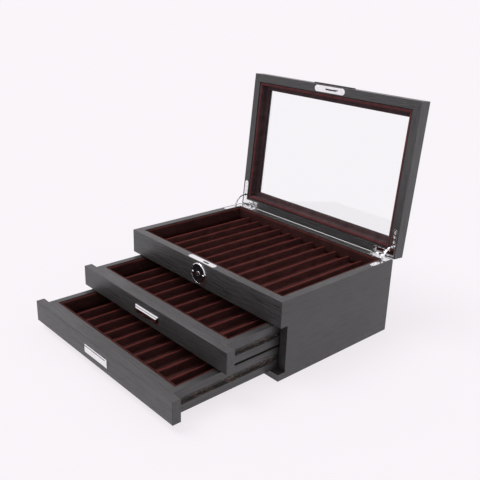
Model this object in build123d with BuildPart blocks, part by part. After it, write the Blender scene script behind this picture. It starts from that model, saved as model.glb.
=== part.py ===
"""Pen collector chest: a lidded top tray over two drawers, stored open as it is displayed.

Frame: X to the right, Y to the back, Z up, in millimetres. The origin is the middle of the
base board's underside. At rest the lid leans on its stay arms, the middle drawer is part of
the way out and the bottom drawer is almost fully out.
"""

import os

from build123d import *

os.makedirs("parts", exist_ok=True)

# ---- driving dimensions -------------------------------------------------------------------

# Case
chest_width = 320.0
chest_depth = 220.0
panel_thickness = 12.0
base_thickness = 9.8
front_panel_height = 35.5
shelf_thickness = 6.0
shelf_groove_depth = 2.5
top_tray_depth = 21.0  # rim to the velvet floor
tray_pad_thickness = 4.0

# Drawers
drawer_front_height = 30.0
drawer_front_thickness = 12.0
gap_over_base = 0.5
gap_between_drawers = 3.1
gap_under_front_panel = 2.1
box_wall = 9.4
box_side_clearance = 2.0
box_rear_clearance = 3.0
box_bottom_thickness = 3.6
box_bottom_groove_depth = 3.0
box_bottom_lip = 1.4  # wood left under the bottom panel
drawer_pad_thickness = 3.0
middle_drawer_opening = 86.0  # how far out it stands at rest
bottom_drawer_opening = 164.0

# Runners
runner_groove_height = 9.2
runner_groove_gap = 0.3
runner_groove_depth = 5.4
runner_tip_gap = 0.6
runner_end_gap = 4.0

# Velvet lining and pen dividers
lining_thickness = 5.0
lining_drop = 1.0  # lining edge below the wooden rim
lining_rounding = 1.6
lining_seam = 0.1  # between two strips at a corner
divider_width = 4.2
divider_drop = 10.5  # divider top below the rim
divider_rounding = 1.6
top_tray_slots = 12
drawer_slots = 11

# Lid
lid_height = 19.0
lid_wall = 12.0
flange_width = 24.6
flange_thickness = 2.5
glass_thickness = 2.5
glass_edge_gap = 0.5
lid_lining_thickness = 5.2
lid_foot_thickness = 1.5  # velvet ledge on the glass, over the flange behind it
lid_foot_edge_gap = 0.2  # to the edge of the flange
lid_open_angle = 95.5
thumb_lip_length = 76.0
thumb_lip_height = 5.0
thumb_lip_reach = 1.6
thumb_lip_rise = 7.5  # from the mating face to the lip

# Quadrant hinges
hinge_axis_back = 1.2  # pin centre behind the back face
hinge_axis_drop = 1.8  # pin centre below the rim
leaf_thickness = 1.5
leaf_width = 7.4
leaf_arm_length = 42.0
leaf_back_length = 38.0
knuckle_radius = 1.8
knuckle_count = 5
knuckle_length = 5.0
knuckle_gap = 0.3
knuckle_inset = 12.5  # outer side face to the first knuckle
knuckle_recess_gap = 0.35
hinge_pin_radius = 0.8
hinge_pin_clearance = 0.05
pin_head_length = 0.8
pin_head_radius = 1.5
stay_radius = 18.5
stay_height = 2.2
stay_thickness = 1.5
stay_gap = 0.5
stay_first_angle = 117.5  # with the lid closed
stay_last_angle = 232.5
stay_pocket_margin = 6.0

# Screws
hinge_screw_head_radius = 2.2
hinge_screw_radius = 1.1
hinge_screw_length = 9.0
side_screw_count = 3
side_screw_pitch = 6.8
first_side_screw = 4.5  # from the round end of the leaf
back_screw_count = 2
back_screw_pitch = 16.0
first_back_screw = 4.0  # from the end of the back arm
plate_screw_head_radius = 2.4
plate_screw_radius = 1.2
plate_screw_sink = 1.2  # depth of the countersunk head
plate_screw_length = 8.0
pull_screw_radius = 1.4
pull_screw_head_radius = 2.8
pull_screw_head_height = 1.8
screw_slot_width = 0.6
screw_slot_depth = 0.5

# Lock
lock_plate_length = 56.0
lock_plate_width = 8.6
lock_plate_thickness = 1.5
lock_slot_left_gap = 0.8  # to the closed lid's hook
lock_slot_right_gap = 2.4
lock_slot_side_gap = 0.9
lock_case_screw_gap = 2.5  # case ends to the plate's screws
lock_case_floor_gap = 4.7  # under the sweep of the finger
lock_case_wall = 0.8
lock_centre_inset = 6.0  # front face to the middle of the lock
bolt_thickness = 4.0
bolt_travel = 8.0
bolt_arm_length = 10.5  # each way from the root of the nose
bolt_gap = 0.4  # to the hook and the plate
key_centre_drop = 17.3  # rim to key centre
key_plug_radius = 3.8
key_plug_clearance = 0.05
key_hole_clearance = 0.3
key_plug_rounding = 0.5
keyhole_radius = 1.5
keyhole_slot_width = 1.1
keyhole_slot_length = 3.2
keyhole_rise = 0.9  # round above the key centre, slot as far below it
keyhole_depth = 7.0
finger_reach = 7.5
finger_width = 2.0
finger_angle = 45.0  # from upright, towards the left, when unlocked
escutcheon_radius = 15.4
escutcheon_rim_width = 1.6
escutcheon_height = 1.8
escutcheon_rounding = 1.3
dish_recess = 0.2  # below the ring
dish_screw_inset = 2.5  # screw centre to the ring
dish_screw_radius = 1.8  # head
dish_screw_rise = 1.1  # head above the dish
dish_screw_rounding = 1.0
dish_screw_bite = 2.4  # shank in the wood

# Strike on the lid
strike_length = 58.0
strike_width = 9.4
strike_thickness = 1.2
strike_window_left_gap = 11.2  # beside the hook
strike_window_right_gap = 1.2
strike_window_width = 2.0
strike_screw_inset = 6.0
hook_thickness = 1.4
hook_reach = 6.4
hook_stem_width = 3.0
hook_foot_length = 4.8
hook_foot_height = 1.7
hook_centre = 7.1
hook_flange = 2.0  # held behind the plate on each side of the window
strike_pocket_depth = 5.0  # behind the window

# Drawer pulls
pull_length = 52.0
pull_height = 12.0
pull_thickness = 3.2
pull_end_bevel = 3.5
pull_edge = 0.8  # thickness along its top and bottom edges
pull_screw_inset = 10.0
pull_screw_bite = 1.6

# Small edge breaks
edge_break = 0.6

# ---- places worked out from them ----------------------------------------------------------

half_width = chest_width / 2
half_depth = chest_depth / 2
inner_half_width = half_width - panel_thickness
inner_half_depth = half_depth - panel_thickness
bottom_drawer_base = base_thickness + gap_over_base
middle_drawer_base = bottom_drawer_base + drawer_front_height + gap_between_drawers
front_panel_base = middle_drawer_base + drawer_front_height + gap_under_front_panel
body_height = front_panel_base + front_panel_height
tray_floor = body_height - top_tray_depth
shelf_top = tray_floor - tray_pad_thickness
shelf_base = shelf_top - shelf_thickness

box_half_width = inner_half_width - box_side_clearance
closed_front = -half_depth
closed_box_front = closed_front + drawer_front_thickness
box_length = inner_half_depth - box_rear_clearance - closed_box_front

runner_height = runner_groove_height - 2 * runner_groove_gap
pull_screw_spacing = pull_length - 2 * pull_screw_inset

hinge_y = half_depth + hinge_axis_back
hinge_z = body_height - hinge_axis_drop
stay_x = half_width - panel_thickness / 2
lock_y = -half_depth + lock_centre_inset
key_z = body_height - key_centre_drop
lock_screw_spacing = lock_plate_length - lock_plate_width
lock_case_length = lock_screw_spacing - 2 * (plate_screw_radius + lock_case_screw_gap)
lock_case_depth = bolt_thickness + 2 * (bolt_gap + lock_case_wall)
lock_case_height = key_centre_drop - lock_plate_thickness + finger_reach + lock_case_floor_gap
finger_thickness = bolt_thickness - 2 * bolt_gap
dish_screw_offset = escutcheon_radius - escutcheon_rim_width - dish_screw_inset
dish_thickness = escutcheon_height - dish_recess
hook_left = hook_centre - (hook_foot_length + hook_stem_width) / 2
hook_right = hook_centre + (hook_foot_length + hook_stem_width) / 2
lock_slot_left = hook_left - lock_slot_left_gap
lock_slot_right = hook_right + lock_slot_right_gap
lock_slot_width = hook_thickness + 2 * lock_slot_side_gap
strike_window_left = hook_left - strike_window_left_gap
strike_window_right = hook_right + strike_window_right_gap
strike_screw_spacing = strike_length - 2 * strike_screw_inset
flange_base = lid_height - flange_thickness
glass_base = flange_base - glass_thickness

# The lid is drawn closed, in a plane whose origin is the middle of the rim, and swung open.
hinge_place = Location((0, hinge_y, hinge_z))
lid_swing = hinge_place * Rotation(-lid_open_angle, 0, 0) * hinge_place.inverse()
half_swing = hinge_place * Rotation(-lid_open_angle / 2, 0, 0) * hinge_place.inverse()
lid_plane = Plane(lid_swing * Location((0, 0, body_height)))


def save(piece, name):
    """Label a finished piece and write it under its node's name."""
    piece.part.label = name
    export_step(piece.part, f"parts/{name}.step")


def frame_side(side, outer_width, outer_depth, thickness):
    """Corner points of the mitred left (-1) or right (1) member of a frame, in plan."""
    x = outer_width / 2
    y = outer_depth / 2
    return [
        (side * x, -y),
        (side * x, y),
        (side * (x - thickness), y - thickness),
        (side * (x - thickness), -y + thickness),
    ]


def frame_end(side, outer_width, outer_depth, thickness):
    """Corner points of the mitred front (-1) or back (1) member of a frame, in plan."""
    x = outer_width / 2
    y = outer_depth / 2
    return [
        (-x, side * y),
        (x, side * y),
        (x - thickness, side * (y - thickness)),
        (-x + thickness, side * (y - thickness)),
    ]


# ---- fittings that other pieces are cut to ------------------------------------------------

def make_hinge_leaf(side, in_lid):
    """One L-shaped leaf with its knuckles, drawn closed with the rim at z = 0."""
    corner_x = side * (stay_x + leaf_width / 2)
    axis_y = half_depth + hinge_axis_back
    arm_end = half_depth - leaf_arm_length
    back_centre = half_depth - panel_thickness / 2
    leaf_base = 0 if in_lid else -leaf_thickness
    first = 1 if in_lid else 0
    with BuildPart() as leaf:
        with BuildSketch(Plane.XY.offset(leaf_base)):
            with BuildLine():
                Polyline(
                    (corner_x, back_centre + leaf_width / 2),
                    (corner_x, arm_end + leaf_width / 2),
                    (corner_x - side * leaf_width, arm_end + leaf_width / 2),
                    (corner_x - side * leaf_width, back_centre - leaf_width / 2),
                    (side * (half_width - leaf_back_length), back_centre - leaf_width / 2),
                    (side * (half_width - leaf_back_length), back_centre + leaf_width / 2),
                    close=True,
                )
            make_face()
            with Locations((side * stay_x, arm_end + leaf_width / 2)):
                Circle(leaf_width / 2)
        extrude(amount=leaf_thickness)
        for number in range(first, knuckle_count, 2):
            centre = side * (half_width - knuckle_inset - (number + 0.5) * knuckle_length)
            length = knuckle_length - knuckle_gap
            tab_front = back_centre + leaf_width / 2
            with Locations((centre, (tab_front + axis_y) / 2, leaf_base + leaf_thickness / 2)):
                Box(length, axis_y - tab_front, leaf_thickness)
            with Locations(Location((centre, axis_y, -hinge_axis_drop), (0, 90, 0))):
                Cylinder(knuckle_radius, length)
            if in_lid:
                curl_top = leaf_thickness
                curl_height = curl_top + hinge_axis_drop
                with Locations((centre, axis_y + knuckle_radius / 2, curl_top - curl_height / 2)):
                    Box(length, knuckle_radius, curl_height)
            with Locations(Location((centre, axis_y, -hinge_axis_drop), (0, 90, 0))):
                bore = hinge_pin_radius + hinge_pin_clearance
                Cylinder(bore, knuckle_length, mode=Mode.SUBTRACT)
        stay_y = axis_y - stay_radius
        with Locations((side * stay_x, stay_y, leaf_base + leaf_thickness / 2)):
            slot_length = stay_height + 4 * stay_gap
            Box(stay_thickness + 2 * stay_gap, slot_length, leaf_thickness, mode=Mode.SUBTRACT)
    return leaf.part


def hinge_screw_points(side):
    """Where the screws of one leaf stand, in plan: some on the side arm, some on the back arm."""
    points = []
    for step in range(side_screw_count):
        y = half_depth - leaf_arm_length + first_side_screw + side_screw_pitch * step
        points.append((side * stay_x, y))
    for step in range(back_screw_count):
        x = half_width - leaf_back_length + first_back_screw + back_screw_pitch * step
        points.append((side * x, half_depth - panel_thickness / 2))
    return points


def make_hinge_screws(side, direction, slotted):
    """Countersunk screws of one leaf, head flush at z = 0, driven down (-1) or up (1)."""
    with BuildPart() as screws:
        for x, y in hinge_screw_points(side):
            axis_plane = Plane(origin=(x, y, 0), x_dir=(1, 0, 0), z_dir=(0, 0, direction))
            with BuildSketch(axis_plane):
                Circle(hinge_screw_head_radius)
            with BuildSketch(axis_plane.offset(leaf_thickness)):
                Circle(hinge_screw_radius)
            loft()
            with BuildSketch(axis_plane.offset(leaf_thickness)):
                Circle(hinge_screw_radius)
            extrude(amount=hinge_screw_length - leaf_thickness)
            if slotted:
                with Locations((x, y, direction * screw_slot_depth / 2)):
                    length = 1.3 * hinge_screw_head_radius
                    Box(length, screw_slot_width, screw_slot_depth, mode=Mode.SUBTRACT)
                    Box(screw_slot_width, length, screw_slot_depth, mode=Mode.SUBTRACT)
    return screws.part


def make_plate_screws(spacing, direction, slotted):
    """Two countersunk screws along the lock's line, driven down (-1) or up (1) from z = 0."""
    with BuildPart() as screws:
        for side in (-1, 1):
            head_plane = Plane(
                origin=(side * spacing / 2, lock_y, 0), x_dir=(1, 0, 0), z_dir=(0, 0, direction)
            )
            shank_plane = head_plane.offset(plate_screw_sink)
            with BuildSketch(head_plane):
                Circle(plate_screw_head_radius)
            with BuildSketch(shank_plane):
                Circle(plate_screw_radius)
            loft()
            with BuildSketch(shank_plane):
                Circle(plate_screw_radius)
            extrude(amount=plate_screw_length - plate_screw_sink)
            if slotted:
                with Locations((side * spacing / 2, lock_y, direction * screw_slot_depth / 2)):
                    length = 1.5 * plate_screw_head_radius
                    Box(length, screw_slot_width, screw_slot_depth, mode=Mode.SUBTRACT)
    return screws.part


rim_place = Location((0, 0, body_height))
lid_place = lid_swing * rim_place

body_leaves = {side: rim_place * make_hinge_leaf(side, False) for side in (-1, 1)}
body_screw_holes = {side: rim_place * make_hinge_screws(side, -1, False) for side in (-1, 1)}
lid_leaves = {side: lid_place * make_hinge_leaf(side, True) for side in (-1, 1)}
lid_screw_holes = {side: lid_place * make_hinge_screws(side, 1, False) for side in (-1, 1)}

# The lock case, top plate and shelf are drawn first, because the wood is cut to them.
case_bottom = body_height - lock_plate_thickness - lock_case_height

with BuildPart() as lock_case:
    with BuildSketch(Plane.XY.offset(case_bottom)):
        with Locations((0, lock_y)):
            Rectangle(lock_case_length, lock_case_depth)
    extrude(amount=lock_case_height)
    with BuildSketch(Plane.XY.offset(case_bottom + lock_case_wall)):
        with Locations((0, lock_y)):
            Rectangle(lock_case_length - 2 * lock_case_wall, lock_case_depth - 2 * lock_case_wall)
    extrude(amount=lock_case_height, mode=Mode.SUBTRACT)
    with BuildSketch(Plane(origin=(0, lock_y - lock_case_depth, key_z), x_dir=(1, 0, 0), z_dir=(0, 1, 0))):
        Circle(key_plug_radius + key_hole_clearance)
    extrude(amount=lock_case_depth, mode=Mode.SUBTRACT)
save(lock_case, "lock_case")

lock_screw_holes = rim_place * make_plate_screws(lock_screw_spacing, -1, False)
with BuildPart() as lock_plate_screws:
    add(rim_place * make_plate_screws(lock_screw_spacing, -1, True))
save(lock_plate_screws, "lock_plate_screws")

with BuildPart() as lock_top_plate:
    with BuildSketch(Plane.XY.offset(body_height - lock_plate_thickness)):
        with Locations((0, lock_y)):
            SlotOverall(lock_plate_length, lock_plate_width)
        with Locations(((lock_slot_left + lock_slot_right) / 2, lock_y)):
            Rectangle(lock_slot_right - lock_slot_left, lock_slot_width, mode=Mode.SUBTRACT)
    extrude(amount=lock_plate_thickness)
    add(lock_screw_holes, mode=Mode.SUBTRACT)
save(lock_top_plate, "lock_top_plate")

with BuildPart() as tray_shelf:
    with BuildSketch(Plane.XY.offset(shelf_base)):
        Rectangle(
            2 * (inner_half_width + shelf_groove_depth),
            2 * (inner_half_depth + shelf_groove_depth),
        )
    extrude(amount=shelf_thickness)
save(tray_shelf, "tray_shelf")

# ---- case panels --------------------------------------------------------------------------

with BuildPart() as base_board:
    with BuildSketch(Plane.XY):
        Rectangle(chest_width, chest_depth)
    extrude(amount=base_thickness)
    chamfer(base_board.faces().sort_by(Axis.Z)[0].edges(), edge_break)
save(base_board, "base_board")


def make_stay_pocket(side, place, first_angle, last_angle):
    """Curved pocket that a stay arm slides in, as a solid to cut away."""
    with BuildPart() as pocket:
        mid_plane = Plane(origin=(side * stay_x, hinge_y, hinge_z), x_dir=(0, 1, 0), z_dir=(1, 0, 0))
        with BuildSketch(mid_plane):
            with BuildLine():
                inner = stay_radius - stay_height / 2 - stay_gap
                outer = stay_radius + stay_height / 2 + stay_gap
                sweep_angle = last_angle - first_angle
                near_arc = CenterArc((0, 0), inner, first_angle, sweep_angle)
                far_arc = CenterArc((0, 0), outer, first_angle, sweep_angle)
                Line(near_arc @ 0, far_arc @ 0)
                Line(near_arc @ 1, far_arc @ 1)
            make_face()
        extrude(amount=stay_thickness / 2 + stay_gap, both=True)
    return place * pocket.part


rim_angle = 170.0
body_pockets = {
    side: make_stay_pocket(side, Location(), rim_angle, stay_last_angle + stay_pocket_margin)
    for side in (-1, 1)
}
lid_pockets = {
    side: make_stay_pocket(side, lid_swing, stay_first_angle - stay_pocket_margin, 360 - rim_angle)
    for side in (-1, 1)
}

for side, name in ((-1, "side_panel_left"), (1, "side_panel_right")):
    with BuildPart() as side_panel:
        with BuildSketch(Plane.XY.offset(base_thickness)):
            with BuildLine():
                Polyline(*frame_side(side, chest_width, chest_depth, panel_thickness), close=True)
            make_face()
        extrude(amount=body_height - base_thickness)
        # The drawer fronts close over the front edge, below the fixed panel.
        with BuildSketch(Plane.XY.offset(base_thickness)):
            with Locations((side * (half_width - panel_thickness / 2), -half_depth)):
                Rectangle(2 * panel_thickness, 2 * drawer_front_thickness)
        extrude(amount=front_panel_base - base_thickness, mode=Mode.SUBTRACT)
        add(tray_shelf.part, mode=Mode.SUBTRACT)
        add(body_leaves[side], mode=Mode.SUBTRACT)
        add(body_screw_holes[side], mode=Mode.SUBTRACT)
        add(body_pockets[side], mode=Mode.SUBTRACT)
    save(side_panel, name)

knuckle_zone = knuckle_count * knuckle_length
with BuildPart() as back_panel:
    with BuildSketch(Plane.XY.offset(base_thickness)):
        with BuildLine():
            Polyline(*frame_end(1, chest_width, chest_depth, panel_thickness), close=True)
        make_face()
    extrude(amount=body_height - base_thickness)
    add(tray_shelf.part, mode=Mode.SUBTRACT)
    for side in (-1, 1):
        add(body_leaves[side], mode=Mode.SUBTRACT)
        add(body_screw_holes[side], mode=Mode.SUBTRACT)
        # Recess that the knuckles turn in.
        recess_reach = knuckle_radius + knuckle_recess_gap
        recess_centre = side * (half_width - knuckle_inset - knuckle_zone / 2)
        with Locations(Location((recess_centre, hinge_y, hinge_z), (0, 90, 0))):
            Cylinder(recess_reach, knuckle_zone + 2 * pin_head_length + knuckle_gap, mode=Mode.SUBTRACT)
save(back_panel, "back_panel")

with BuildPart() as upper_front_panel:
    with BuildSketch(Plane.XY.offset(front_panel_base)):
        with BuildLine():
            Polyline(*frame_end(-1, chest_width, chest_depth, panel_thickness), close=True)
        make_face()
    extrude(amount=front_panel_height)
    add(tray_shelf.part, mode=Mode.SUBTRACT)
    add(lock_screw_holes, mode=Mode.SUBTRACT)
    with BuildSketch(Plane.XY.offset(body_height - lock_plate_thickness)):
        with Locations((0, lock_y)):
            SlotOverall(lock_plate_length, lock_plate_width)
    extrude(amount=lock_plate_thickness, mode=Mode.SUBTRACT)
    with BuildSketch(Plane.XY.offset(case_bottom)):
        with Locations((0, lock_y)):
            Rectangle(lock_case_length, lock_case_depth)
    extrude(amount=lock_case_height, mode=Mode.SUBTRACT)
    with BuildSketch(Plane(origin=(0, -half_depth, key_z), x_dir=(1, 0, 0), z_dir=(0, 1, 0))):
        Circle(key_plug_radius + key_hole_clearance)
    extrude(amount=lock_centre_inset, mode=Mode.SUBTRACT)
    with BuildSketch(Plane(origin=(0, -half_depth, key_z), x_dir=(1, 0, 0), z_dir=(0, 1, 0))):
        with Locations((-dish_screw_offset, 0), (dish_screw_offset, 0)):
            Circle(dish_screw_radius / 2)
    extrude(amount=dish_screw_bite, mode=Mode.SUBTRACT)
save(upper_front_panel, "upper_front_panel")

# ---- drawer runners -----------------------------------------------------------------------

runner_depth = box_side_clearance + runner_groove_depth - runner_tip_gap
runner_front = closed_box_front + runner_end_gap
runner_back = inner_half_depth - runner_end_gap
for base, name in ((middle_drawer_base, "middle_runners"), (bottom_drawer_base, "bottom_runners")):
    with BuildPart() as runners:
        with BuildSketch(Plane.XY.offset(base + drawer_front_height / 2 - runner_height / 2)):
            runner_x = inner_half_width - runner_depth / 2
            runner_y = (runner_front + runner_back) / 2
            with Locations((-runner_x, runner_y), (runner_x, runner_y)):
                Rectangle(runner_depth, runner_back - runner_front)
        extrude(amount=runner_height)
    save(runners, name)

# ---- linings and dividers -----------------------------------------------------------------


def save_lining(name, centre_y, half_x, half_y, floor, rim):
    """Four padded strips standing on a tray's pad, against its walls."""
    strip_x = half_x - lining_thickness / 2
    strip_y = half_y - lining_thickness / 2
    with BuildPart() as lining:
        with BuildSketch(Plane.XY.offset(floor)):
            with Locations((-strip_x, centre_y), (strip_x, centre_y)):
                Rectangle(lining_thickness, 2 * half_y)
            with Locations((0, centre_y - strip_y), (0, centre_y + strip_y)):
                Rectangle(2 * (half_x - lining_thickness - lining_seam), lining_thickness)
        extrude(amount=rim - lining_drop - floor)
        # Only the long edges that look into the tray are rounded.
        top_edges = lining.faces().group_by(Axis.Z)[-1].edges()
        long_x_edges = [edge for edge in top_edges.filter_by(Axis.X) if edge.length > half_x]
        long_y_edges = [edge for edge in top_edges.filter_by(Axis.Y) if edge.length > half_y]
        inner_edges = [edge for edge in long_x_edges if abs(edge.center().Y - centre_y) < strip_y]
        inner_edges += [edge for edge in long_y_edges if abs(edge.center().X) < strip_x]
        fillet(inner_edges, lining_rounding)
    save(lining, name)


def save_dividers(name, slots, centre_y, half_x, half_y, floor, rim):
    """Bars between the pen slots, standing on the pad from the front lining to the back one."""
    pitch = 2 * (half_x - lining_thickness) / slots
    with BuildPart() as dividers:
        with BuildSketch(Plane.XY.offset(floor)):
            with Locations((0, centre_y)):
                with GridLocations(pitch, 0, slots - 1, 1):
                    Rectangle(divider_width, 2 * (half_y - lining_thickness))
        extrude(amount=rim - divider_drop - floor)
        fillet(dividers.faces().group_by(Axis.Z)[-1].edges().filter_by(Axis.Y), divider_rounding)
    save(dividers, name)


with BuildPart() as top_tray_pad:
    with BuildSketch(Plane.XY.offset(shelf_top)):
        Rectangle(2 * inner_half_width, 2 * inner_half_depth)
    extrude(amount=tray_pad_thickness)
save(top_tray_pad, "top_tray_pad")
save_lining("top_tray_lining", 0, inner_half_width, inner_half_depth, tray_floor, body_height)
save_dividers(
    "top_tray_dividers", top_tray_slots, 0, inner_half_width, inner_half_depth, tray_floor, body_height
)

# ---- drawers ------------------------------------------------------------------------------


def make_drawer(prefix, base, opening):
    """All pieces of one drawer, standing open by the given distance."""
    front_y = closed_front - opening
    box_y = front_y + drawer_front_thickness
    rear_y = box_y + box_length
    rim = base + drawer_front_height
    inner_x = box_half_width - box_wall
    inner_front = box_y + box_wall
    inner_back = rear_y - box_wall
    centre_y = (inner_front + inner_back) / 2
    half_y = (inner_back - inner_front) / 2
    panel_base = base + box_bottom_lip
    panel_top = panel_base + box_bottom_thickness
    floor = panel_top + drawer_pad_thickness
    middle_z = base + drawer_front_height / 2

    with BuildPart() as box_bottom:
        with BuildSketch(Plane.XY.offset(panel_base)):
            with Locations((0, centre_y)):
                Rectangle(
                    2 * (inner_x + box_bottom_groove_depth), 2 * (half_y + box_bottom_groove_depth)
                )
        extrude(amount=box_bottom_thickness)
    save(box_bottom, f"{prefix}_bottom_panel")

    with BuildPart() as pull_screws:
        for side in (-1, 1):
            head_plane = Plane(
                origin=(side * pull_screw_spacing / 2, inner_front, middle_z), z_dir=(0, -1, 0)
            )
            with BuildSketch(head_plane):
                Circle(pull_screw_head_radius)
            extrude(amount=pull_screw_head_height)
            with BuildSketch(head_plane.offset(pull_screw_head_height)):
                Circle(pull_screw_radius)
            extrude(amount=box_wall - pull_screw_head_height + drawer_front_thickness + pull_screw_bite)
    save(pull_screws, f"{prefix}_pull_screws")

    with BuildPart() as front:
        with BuildSketch(Plane.XY.offset(base)):
            with Locations((0, front_y + drawer_front_thickness / 2)):
                Rectangle(chest_width, drawer_front_thickness)
        extrude(amount=drawer_front_height)
        chamfer(front.faces().sort_by(Axis.Y)[0].edges(), edge_break)
        add(pull_screws.part, mode=Mode.SUBTRACT)
    save(front, f"{prefix}_front")

    for side, where in ((-1, "left"), (1, "right")):
        with BuildPart() as box_side:
            with BuildSketch(Plane.XY.offset(base)):
                with Locations((side * (box_half_width - box_wall / 2), box_y + box_length / 2)):
                    Rectangle(box_wall, box_length)
            extrude(amount=drawer_front_height)
            with BuildSketch(Plane.XY.offset(middle_z - runner_groove_height / 2)):
                with Locations((side * box_half_width, box_y + box_length / 2)):
                    Rectangle(2 * runner_groove_depth, box_length)
            extrude(amount=runner_groove_height, mode=Mode.SUBTRACT)
            add(box_bottom.part, mode=Mode.SUBTRACT)
        save(box_side, f"{prefix}_side_{where}")

    with BuildPart() as inner_wall:
        with BuildSketch(Plane.XY.offset(base)):
            with Locations((0, box_y + box_wall / 2)):
                Rectangle(2 * inner_x, box_wall)
        extrude(amount=drawer_front_height)
        add(box_bottom.part, mode=Mode.SUBTRACT)
        add(pull_screws.part, mode=Mode.SUBTRACT)
    save(inner_wall, f"{prefix}_inner_wall")

    with BuildPart() as rear_wall:
        with BuildSketch(Plane.XY.offset(base)):
            with Locations((0, rear_y - box_wall / 2)):
                Rectangle(2 * inner_x, box_wall)
        extrude(amount=drawer_front_height)
        add(box_bottom.part, mode=Mode.SUBTRACT)
    save(rear_wall, f"{prefix}_rear_wall")

    with BuildPart() as pad:
        with BuildSketch(Plane.XY.offset(panel_top)):
            with Locations((0, centre_y)):
                Rectangle(2 * inner_x, 2 * half_y)
        extrude(amount=drawer_pad_thickness)
    save(pad, f"{prefix}_pad")
    save_lining(f"{prefix}_lining", centre_y, inner_x, half_y, floor, rim)
    save_dividers(f"{prefix}_dividers", drawer_slots, centre_y, inner_x, half_y, floor, rim)

    # A rounded bar, seen from its end, and then from above, where its ends are bevelled.
    with BuildPart() as pull:
        with BuildSketch(Plane(origin=(0, front_y, middle_z), x_dir=(0, -1, 0), z_dir=(1, 0, 0))):
            with BuildLine():
                Polyline(
                    (pull_edge, pull_height / 2),
                    (0, pull_height / 2),
                    (0, -pull_height / 2),
                    (pull_edge, -pull_height / 2),
                )
                ThreePointArc(
                    (pull_edge, -pull_height / 2), (pull_thickness, 0), (pull_edge, pull_height / 2)
                )
            make_face()
        extrude(amount=pull_length / 2, both=True)
        with BuildSketch(Plane(origin=(0, front_y, middle_z), x_dir=(1, 0, 0), z_dir=(0, 0, 1))):
            with BuildLine():
                Polyline(
                    (-pull_length / 2, 0),
                    (pull_length / 2, 0),
                    (pull_length / 2, -pull_edge),
                    (pull_length / 2 - pull_end_bevel, -pull_thickness),
                    (-pull_length / 2 + pull_end_bevel, -pull_thickness),
                    (-pull_length / 2, -pull_edge),
                    close=True,
                )
            make_face()
        extrude(amount=pull_height / 2, both=True, mode=Mode.INTERSECT)
        add(pull_screws.part, mode=Mode.SUBTRACT)
    save(pull, f"{prefix}_pull")


make_drawer("middle_drawer", middle_drawer_base, middle_drawer_opening)
make_drawer("bottom_drawer", bottom_drawer_base, bottom_drawer_opening)

# ---- lock ---------------------------------------------------------------------------------

front_face = Plane(origin=(0, -half_depth, key_z), x_dir=(1, 0, 0), z_dir=(0, -1, 0))

with BuildPart() as escutcheon_ring:
    with BuildSketch(front_face):
        Circle(escutcheon_radius)
        Circle(escutcheon_radius - escutcheon_rim_width, mode=Mode.SUBTRACT)
    extrude(amount=escutcheon_height)
    rim_edges = escutcheon_ring.faces().sort_by(Axis.Y)[0].edges()
    fillet(rim_edges.sort_by(SortBy.LENGTH)[-1], escutcheon_rounding)
save(escutcheon_ring, "escutcheon_ring")

with BuildPart() as escutcheon_screws:
    with BuildSketch(front_face):
        with Locations((-dish_screw_offset, 0), (dish_screw_offset, 0)):
            Circle(dish_screw_radius)
    extrude(amount=dish_thickness + dish_screw_rise)
    fillet(escutcheon_screws.faces().sort_by(Axis.Y)[:2].edges(), dish_screw_rounding)
    with BuildSketch(front_face):
        with Locations((-dish_screw_offset, 0), (dish_screw_offset, 0)):
            Circle(dish_screw_radius / 2)
    extrude(amount=-dish_screw_bite)
save(escutcheon_screws, "escutcheon_screws")

with BuildPart() as escutcheon_dish:
    with BuildSketch(front_face):
        Circle(escutcheon_radius - escutcheon_rim_width)
        Circle(key_plug_radius + key_plug_clearance, mode=Mode.SUBTRACT)
    extrude(amount=dish_thickness)
    add(escutcheon_screws.part, mode=Mode.SUBTRACT)
save(escutcheon_dish, "escutcheon_dish")

with BuildPart() as key_plug:
    with BuildSketch(front_face.offset(escutcheon_height)):
        Circle(key_plug_radius)
    extrude(amount=-(escutcheon_height + lock_centre_inset + finger_thickness / 2))
    fillet(key_plug.faces().sort_by(Axis.Y)[0].edges(), key_plug_rounding)
    # Finger that throws the bolt, pointing up and to the left when unlocked.
    with BuildSketch(Plane(origin=(0, lock_y, key_z), x_dir=(1, 0, 0), z_dir=(0, -1, 0))):
        with Locations(Location((0, 0), finger_angle)):
            with Locations((0, finger_reach / 2)):
                Rectangle(finger_width, finger_reach)
    extrude(amount=finger_thickness / 2, both=True)
    # Keyhole: a round with a slot below it.
    with BuildSketch(front_face.offset(escutcheon_height)):
        with Locations((0, keyhole_rise)):
            Circle(keyhole_radius)
        with Locations((0, -keyhole_rise)):
            Rectangle(keyhole_slot_width, keyhole_slot_length)
    extrude(amount=-keyhole_depth, mode=Mode.SUBTRACT)
save(key_plug, "key_plug")

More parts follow.
